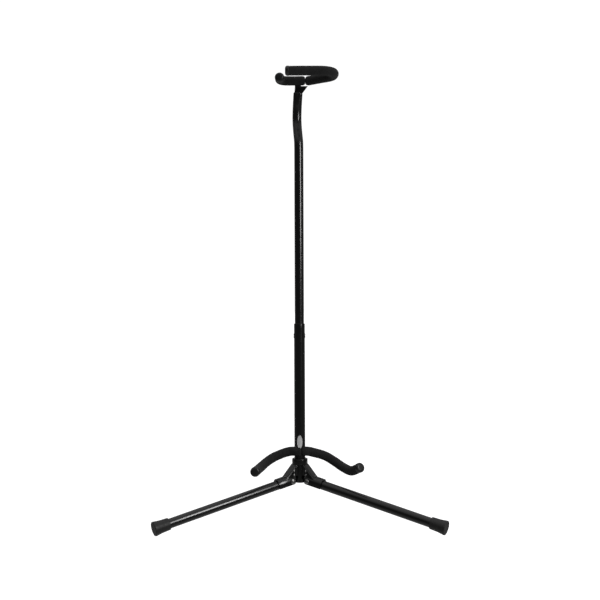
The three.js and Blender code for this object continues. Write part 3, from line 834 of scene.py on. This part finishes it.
# Each ring's share of the oval's size, and its distance from the column's axis.
BADGE_SECTION = [
    (0.02, 9.62), (0.5, 9.62), (0.985, 9.62), (1.0, 9.8), (1.0, 10.25), (0.985, 10.42),
    (0.955, 10.5), (0.92, 10.46), (0.895, 10.3), (0.87, 10.22), (0.6, 10.22), (0.3, 10.22),
    (0.02, 10.22),
]


def badge():
    """An oval plate bent round the tube, with a raised rim."""
    rings = []
    for share, radius in BADGE_SECTION:
        ring = []
        for a in np.arange(72) * FULL_TURN / 72:
            x = BADGE_HALF_WIDTH * share * math.cos(a)
            z = BADGE_HEIGHT + BADGE_HALF_HEIGHT * share * math.sin(a)
            ring.append(at(x, -math.sqrt(radius**2 - x**2), z))
        rings.append(ring)
    return fitted(surface("badge_oval", np.array(rings), closed=True), "badge_plate")


badge()


# ---------------------------------------------------------------- clamp

CLAMP_AXIS = Path([at(0, 0, CLAMP_HEIGHT), at(0, 60, CLAMP_HEIGHT)])
BOSS_RADIUS = 6.5
BOSS_WELD_RADIUS = 6.7
SCREW_RADIUS = 3.0
SCREW_START = 10.6
SCREW_END = 26.2
THREAD_PITCH = 1.0
THREAD_DEPTH = 0.28
KNOB_START = 17.5
KNOB_END = 31.5
KNOB_RADIUS = 10.75
KNOB_GRIP_FROM = 8.4
KNOB_FLUTES = 10
FLUTE_RADIUS = 2.0
FLUTE_OUT = KNOB_RADIUS + 1.2


def boss():
    profile = sleeve(8.0, 15.5, BOSS_RADIUS, SCREW_RADIUS + GAP, (0.6, 0.6), 3)
    obj = surface("clamp_boss_nut", turned_grid(CLAMP_AXIS, profile, 56), closed=True)
    bore = round_bar(LOWER_RADIUS - 0.1, 0, 500, Matrix.Translation((COLUMN_X, COLUMN_Y, 0)))
    return fitted(shaded(combined(obj, "DIFFERENCE", bore)), "clamp_boss")


def screw():
    def thread(distance, direction, points, radius):
        angle = np.arctan2(direction[..., 2], direction[..., 0]) / FULL_TURN
        wave = np.abs(((distance[:, None] / (THREAD_PITCH * MM) + angle) % 1.0) - 0.5) * 2
        return np.where(radius > 2.5 * MM, -THREAD_DEPTH * MM * wave, 0.0)

    profile = [(SCREW_START, 0), (SCREW_START, 2.2), (SCREW_START + 0.3, 2.6)]
    profile += [(s, SCREW_RADIUS) for s in np.arange(SCREW_START + 0.5, SCREW_END - 0.4, 0.2)]
    profile += [(SCREW_END, 2.6), (SCREW_END, 0)]
    grid = turned_grid(CLAMP_AXIS, profile, 32, thread)
    return fitted(surface("clamp_screw_thread", grid, sharp=60), "clamp_screw")


def knob():
    def flutes(distance, direction, points, radius):
        angle = np.arctan2(direction[..., 2], direction[..., 0])
        pitch = FULL_TURN / KNOB_FLUTES
        off = (angle + pitch / 2) % pitch - pitch / 2
        reach = FLUTE_OUT * np.sin(off)
        hollow = np.sqrt(np.maximum(FLUTE_RADIUS**2 - reach**2, 0))
        edge = (FLUTE_OUT * np.cos(off) - hollow) * MM
        fluted = (np.abs(reach) < FLUTE_RADIUS) & (radius > KNOB_GRIP_FROM * MM)
        return np.where(fluted, np.minimum(edge - radius, 0), 0)

    shoulder = KNOB_START + 3
    edge = 1.4
    bore = SCREW_RADIUS + 0.1
    dish = [(0, 8.3), (0.2, 7.8), (0.6, 7.4), (0.7, 4), (0.7, 0)]
    profile = (
        [(SCREW_END + GAP, 0), (SCREW_END + GAP, bore), (KNOB_START, bore)]
        + corner(KNOB_START + 0.5, 5.5, 0.5, 180, 90)
        + [(shoulder - 0.4, 6), (shoulder, 6.5), (shoulder, 8.3)]
        + corner(shoulder + edge, KNOB_RADIUS - edge, edge, 180, 90, 7)
        + [(s, KNOB_RADIUS) for s in np.linspace(shoulder + 2, KNOB_END - 2, 8)]
        + corner(KNOB_END - edge, KNOB_RADIUS - edge, edge, 90, 0, 7)
        + [(KNOB_END - depth, radius) for depth, radius in dish]
    )
    grid = turned_grid(CLAMP_AXIS, profile, 240, flutes)
    return fitted(surface("clamp_knob_grip", grid, sharp=40), "clamp_knob")


boss()
screw()
knob()


def boss_line(angle):
    across = BOSS_WELD_RADIUS * math.cos(angle)
    return at(across, column_surface(across), CLAMP_HEIGHT + BOSS_WELD_RADIUS * math.sin(angle))


weld("boss_weld", "base", boss_line, 0.75, 5)


# ---------------------------------------------------------------- mast

mast_path = Path(
    straight(at(0, 0, UPPER_BOTTOM), at(0, 0, NECK_START))
    + spline([(x, y, NECK_START + z) for x, y, z in NECK_POINTS])
)
DENT_LENGTH = 27
DENT_DEPTH = 3.4
DENT_SPREAD = 0.36
PINCH_LENGTH = 20
PINCH_DEPTH = 4.4
# The neck's finer rings start here. From here to its top the tube is closed to a narrow bore.
FINE_FROM = 382
END_BORE = 4.0
END_EDGE = 2.8


def dented(distance, direction, points, radius):
    """The tube's end: a groove down its front and its back, then both sides pinched together."""
    from_end = (mast_path.length - distance[:, None]) / MM
    fade = np.clip(1 - from_end / DENT_LENGTH, 0, 1) ** 1.4
    close = np.clip(1 - from_end / PINCH_LENGTH, 0, 1) ** 1.6
    front, back = (
        np.exp(-((np.arccos(np.clip(way * direction[..., 1], -1, 1)) / DENT_SPREAD) ** 2))
        for way in (-1, 1)
    )
    pinch = PINCH_DEPTH * MM * close * direction[..., 1] ** 2
    return -DENT_DEPTH * MM * fade * (front + 0.8 * back) * (1 - close) - pinch


def upper_tube():
    end = mast_path.length / MM + 1.8
    outside = [(s, UPPER_RADIUS) for s in np.linspace(0.5, FINE_FROM - 2, 50)]
    outside += [(s, UPPER_RADIUS) for s in np.arange(FINE_FROM, end - 3.4, 1.2)]
    outside += corner(end - END_EDGE, UPPER_RADIUS - END_EDGE, END_EDGE, 90, 8, 9)
    inside = [(end - 0.2, END_BORE + 0.2), (end - 1.2, END_BORE)]
    inside += [(s, END_BORE) for s in np.arange(end - 3, FINE_FROM + 2, -4)]
    inside += [(FINE_FROM - 2, UPPER_BORE), (0, UPPER_BORE), (0, UPPER_RADIUS - 0.4)]
    grid = turned_grid(mast_path, outside + inside, 80)
    grid[:len(outside)] = turned_grid(mast_path, outside, 80, dented)
    return fitted(surface("mast_tube", grid, closed=True, sharp=50), "upper_tube")


upper_tube()

SADDLE = [
    (-4.8, 733.5), (2.6, 733.5), (3.4, 737), (6.8, 738.6), (10.6, 743.5), (16.1, 750.9),
    (4.3, 750.9), (4.3, 756.2), (-6.6, 756.2), (-6.6, 748.9), (-7.2, 741), (-7.3, 737.4),
    (-5, 736.6),
]
SADDLE_HALF = 1.5
saddle = prism(
    SADDLE, -SADDLE_HALF, SADDLE_HALF,
    Matrix.Translation((COLUMN_X, COLUMN_Y + SADDLE_HALF * MM, 0)) @ ALONG_Y,
)
saddle.name = "saddle_plate"
fitted(eased(saddle, 0.6), "yoke_saddle")
weld(
    "saddle_weld", "mast",
    lambda a: at(-1.1 + 4.4 * math.cos(a), 1.7 + 2.2 * math.sin(a), 738.7), 0.8, 6,
)


# ---------------------------------------------------------------- padded rods

PUCKER_PITCH = 3.6
PUCKER_DEPTH = 0.32
SWELL = 0.2
CAP_SIDE_EDGE = 0.5
CAP_RADIUS = 8.3
CRADLE_WELD_RADIUS = 3.9
cradle_path = Path(spline(CRADLE_POINTS))
yoke_path = Path(bent(YOKE_CORNERS, YOKE_HEIGHT))


def bulged(points):
    """The cradle's line, pressed forward beside the column."""
    out = np.array(points)
    away = np.abs(out[:, 0] - COLUMN_X) / MM
    near = np.clip(1 - (away - FOAM_MEETING) / FOAM_BULGE_REACH, 0, 1)
    out[:, 1] -= FOAM_BULGE * MM * near**2 * (3 - 2 * near)
    return out


cradle_pad_path = Path(list(bulged(cradle_path.points)))


def clear_of_column(grid, profile):
    """Foam that would lie inside the column is laid on its front instead."""
    radii = np.array([radius for _, radius in profile])[:, None]
    wall = np.where(radii > 6, 0.15, 0.8)
    aside = (grid[..., 0] - COLUMN_X) / MM
    front = np.sqrt(np.maximum(LOWER_RADIUS**2 - aside**2, 0))
    limit = COLUMN_Y - (front + wall) * MM
    beside = (np.abs(aside) < LOWER_RADIUS + 0.15) & (grid[..., 2] < LOWER_TOP * MM)
    grid[..., 1] = np.where(beside, np.minimum(grid[..., 1], limit), grid[..., 1])
    return grid


def padding(name, node, path, start, end, edges, seed):
    """A foam sleeve: a little uneven, and puckered on the inside of each bend."""
    def uneven(distance, direction, points, radius):
        outer = radius > 6 * MM
        soft = 0.14 * wobble(points, 26, seed) + 0.07 * wobble(points, 7, seed + 1)
        inward = (direction * path.bend(distance)[:, None]).sum(-1)
        squeeze = np.clip(inward * FOAM_RADIUS * MM, 0, 1)
        phase = FULL_TURN * distance[:, None] / (PUCKER_PITCH * MM)
        ridge = np.sin(phase + 1.5 * wobble(points, 12, seed + 2))
        pucker = PUCKER_DEPTH * squeeze * (ridge - 0.4)
        return np.where(outer, (soft + pucker) * MM, 0.0)

    profile = sleeve(start / MM, end / MM, FOAM_RADIUS + SWELL, FOAM_BORE, edges, 0.9)
    grid = clear_of_column(turned_grid(path, profile, 64, uneven), profile)
    obj = fitted(surface(name, grid, closed=True, sharp=60), node)


def rod(name, node, path):
    end = path.length / MM
    profile = [(0, 0), (0, ROD_RADIUS - 0.4), (0.4, ROD_RADIUS)]
    profile += [(s, ROD_RADIUS) for s in np.arange(1, end - 1, 1.5)]
    profile += [(end - 0.4, ROD_RADIUS), (end, ROD_RADIUS - 0.4), (end, 0)]
    return fitted(surface(name, turned_grid(path, profile, 28)), node)


def cap(name, node, path, forward):
    """A domed plug cap over a rod's end."""
    bore = ROD_RADIUS + PRESS_GAP
    profile = [(4, 0), (4, bore), (0, bore)] + corner(0.7, CAP_RADIUS - 0.7, 0.7, 180, 90)
    profile.append((3.2, CAP_RADIUS))
    for a in np.linspace(0.1, math.pi / 2, 10):
        profile.append((3.2 + 3.8 * math.sin(a), 3.9 + 4.4 * math.cos(a)))
    profile += [(7, 2), (7, 0)]
    seat = ROD_IN_CAP * MM
    points, tangents, _, _ = path.frames([path.length - seat if forward else seat])
    way = path.tangents[-1] if forward else -path.tangents[0]
    line = Path([points[0], points[0] + way * 10 * MM])
    return fitted(surface(name, turned_grid(line, profile, 56), sharp=50), node)


rod("cradle_rod_core", "cradle_rod", cradle_path)
rod("yoke_rod_core", "yoke_rod", yoke_path)


def pair_of_pads(name, path, search, meeting, ends, inner_edge, seed):
    """Two foam sleeves on a rod, from its caps to where they meet above or beside the column."""
    seat = CAP_SEAT * MM
    first, second = (path.distance_at_x(COLUMN_X + x * MM, *search) for x in meeting)
    padding(
        f"{name}_pad_{ends[0]}", f"{name}_foam_{ends[0]}", path, seat, first,
        (CAP_SIDE_EDGE, inner_edge), seed,
    )
    padding(
        f"{name}_pad_{ends[1]}", f"{name}_foam_{ends[1]}", path, second, path.length - seat,
        (inner_edge, CAP_SIDE_EDGE), seed + 1,
    )


quarter = cradle_path.length / 4
pair_of_pads(
    "cradle", cradle_pad_path, (quarter, 3 * quarter),
    (FOAM_MEETING - FOAM_MEETING_GAP, FOAM_MEETING + FOAM_MEETING_GAP), ("left", "right"), 3.5, 11,
)
pair_of_pads(
    "yoke", yoke_path, (40 * MM, 110 * MM), (SHORT_FOAM_X, LONG_FOAM_X), ("short", "long"), 5, 13,
)
cap("cradle_left_end_cap", "cradle_cap_left", cradle_path, False)
cap("cradle_right_end_cap", "cradle_cap_right", cradle_path, True)
cap("yoke_short_end_cap", "yoke_cap_short", yoke_path, False)
cap("yoke_long_end_cap", "yoke_cap_long", yoke_path, True)


def cradle_line(way):
    """The line where the cradle's rod meets one side of the column."""
    def line(angle):
        across = CRADLE_WELD_RADIUS * math.cos(angle)
        height = CRADLE_HEIGHT + CRADLE_WELD_RADIUS * math.sin(angle)
        return at(way * (column_surface(across) + 0.1), across, height)

    return line


for way, name in ((-1, "cradle_weld_left"), (1, "cradle_weld_right")):
    weld(name, "base", cradle_line(way), 0.75, 7 + way)

# CAD nodes that stay, inside the column.
for node in ("guide_plug", "pressure_pad"):
    finished(frame["nodes"][node], SLOT_OF[node])


# ---------------------------------------------------------------- studio

# Brightness of the room by direction, from 0 (towards the camera, or down) to 1 (away, or up).
BEHIND = [(0.0, 0.05), (0.5, 0.08), (0.65, 0.12), (1.0, 0.2)]
OVERHEAD = [
    (0.0, 0.35), (0.25, 0.18), (0.375, 0.03), (0.5, 0.0), (0.675, 0.0), (0.8, 0.24), (1.0, 0.6),
]
BACKDROP = 1.05
# The floor lies below the feet, clear of the legs when they hang down, folded.
FLOOR_DROP = 0.21
FLOOR_HALF = 40
KEY_PLACE = (COLUMN_X + 1.34, COLUMN_Y - 1.49, 1.08)
KEY_AIM = (COLUMN_X, COLUMN_Y, 0.85)
KEY_SIZE = (0.36, 1.0)
KEY_POWER = 18
CAMERA_PLACE = (COLUMN_X + 0.0012, COLUMN_Y - 1.462, 0.3755)
CAMERA_ROLL = math.radians(0.2)


def floor():
    mesh = bpy.data.meshes.new("floor")
    corners = [(x * FLOOR_HALF, y * FLOOR_HALF) for x, y in ((-1, -1), (1, -1), (1, 1), (-1, 1))]
    mesh.from_pydata([(x, y, -FLOOR_DROP) for x, y in corners], [], [(0, 1, 2, 3)])
    obj = bpy.data.objects.new("floor", mesh)
    bpy.context.scene.collection.objects.link(obj)
    n = Nodes("pale_floor")
    n.base(n.colours(n.noise(900, 2.0), [(0.3, grey(0.78)), (0.7, grey(0.8))]))
    n.set(Roughness=1.0, Specular_IOR_Level=0.0)
    n.set(Emission_Color=(1, 1, 1, 1), Emission_Strength=0.86)
    mesh.materials.append(n.material)
    obj.visible_glossy = False
    obj.visible_diffuse = False


def world():
    """White as the camera sees it. To the stand, a dim room, lighter behind and overhead."""
    made = bpy.data.worlds.new("studio")
    bpy.context.scene.world = made
    made.use_nodes = True
    tree = made.node_tree
    tree.nodes.clear()
    place = tree.nodes.new("ShaderNodeTexCoord")
    split = tree.nodes.new("ShaderNodeSeparateXYZ")
    tree.links.new(place.outputs["Generated"], split.inputs["Vector"])

    def shade(axis, stops):
        shift = tree.nodes.new("ShaderNodeMath")
        shift.operation = "MULTIPLY_ADD"
        shift.inputs[1].default_value = 0.5
        shift.inputs[2].default_value = 0.5
        tree.links.new(split.outputs[axis], shift.inputs[0])
        ramp = tree.nodes.new("ShaderNodeValToRGB")
        while len(ramp.color_ramp.elements) < len(stops):
            ramp.color_ramp.elements.new(0.5)
        for element, (position, value) in zip(ramp.color_ramp.elements, stops):
            element.position = position
            element.color = (value, value, value, 1)
        tree.links.new(shift.outputs["Value"], ramp.inputs["Fac"])
        return ramp.outputs["Color"]

    total = tree.nodes.new("ShaderNodeMath")
    total.operation = "ADD"
    tree.links.new(shade("Y", BEHIND), total.inputs[0])
    tree.links.new(shade("Z", OVERHEAD), total.inputs[1])
    room = tree.nodes.new("ShaderNodeBackground")
    tree.links.new(total.outputs["Value"], room.inputs["Color"])
    backdrop = tree.nodes.new("ShaderNodeBackground")
    backdrop.inputs["Color"].default_value = (1, 1, 1, 1)
    backdrop.inputs["Strength"].default_value = BACKDROP
    path = tree.nodes.new("ShaderNodeLightPath")
    mix = tree.nodes.new("ShaderNodeMixShader")
    tree.links.new(path.outputs["Is Camera Ray"], mix.inputs["Fac"])
    tree.links.new(room.outputs["Background"], mix.inputs[1])
    tree.links.new(backdrop.outputs["Background"], mix.inputs[2])
    out = tree.nodes.new("ShaderNodeOutputWorld")
    tree.links.new(mix.outputs["Shader"], out.inputs["Surface"])


def softbox(name, place, aim, width, height, power):
    light = bpy.data.lights.new(name, "AREA")
    light.shape = "RECTANGLE"
    light.size, light.size_y = width, height
    light.energy = power
    obj = bpy.data.objects.new(name, light)
    obj.location = place
    way = Vector(aim) - Vector(place)
    obj.rotation_euler = way.to_track_quat("-Z", "Y").to_euler()
    bpy.context.scene.collection.objects.link(obj)


floor()
world()
softbox("key_softbox", KEY_PLACE, KEY_AIM, *KEY_SIZE, KEY_POWER)

camera = bpy.data.cameras.new("camera")
camera.lens = 50
camera.sensor_width = 36
camera.clip_start = 0.05
camera.clip_end = 200
eye = bpy.data.objects.new("camera", camera)
eye.location = CAMERA_PLACE
eye.rotation_euler = (math.radians(90), CAMERA_ROLL, 0)
bpy.context.scene.collection.objects.link(eye)
bpy.context.scene.camera = eye
bpy.context.scene.view_settings.view_transform = "Standard"
bpy.context.scene.view_settings.look = "None"

bpy.context.view_layer.update()
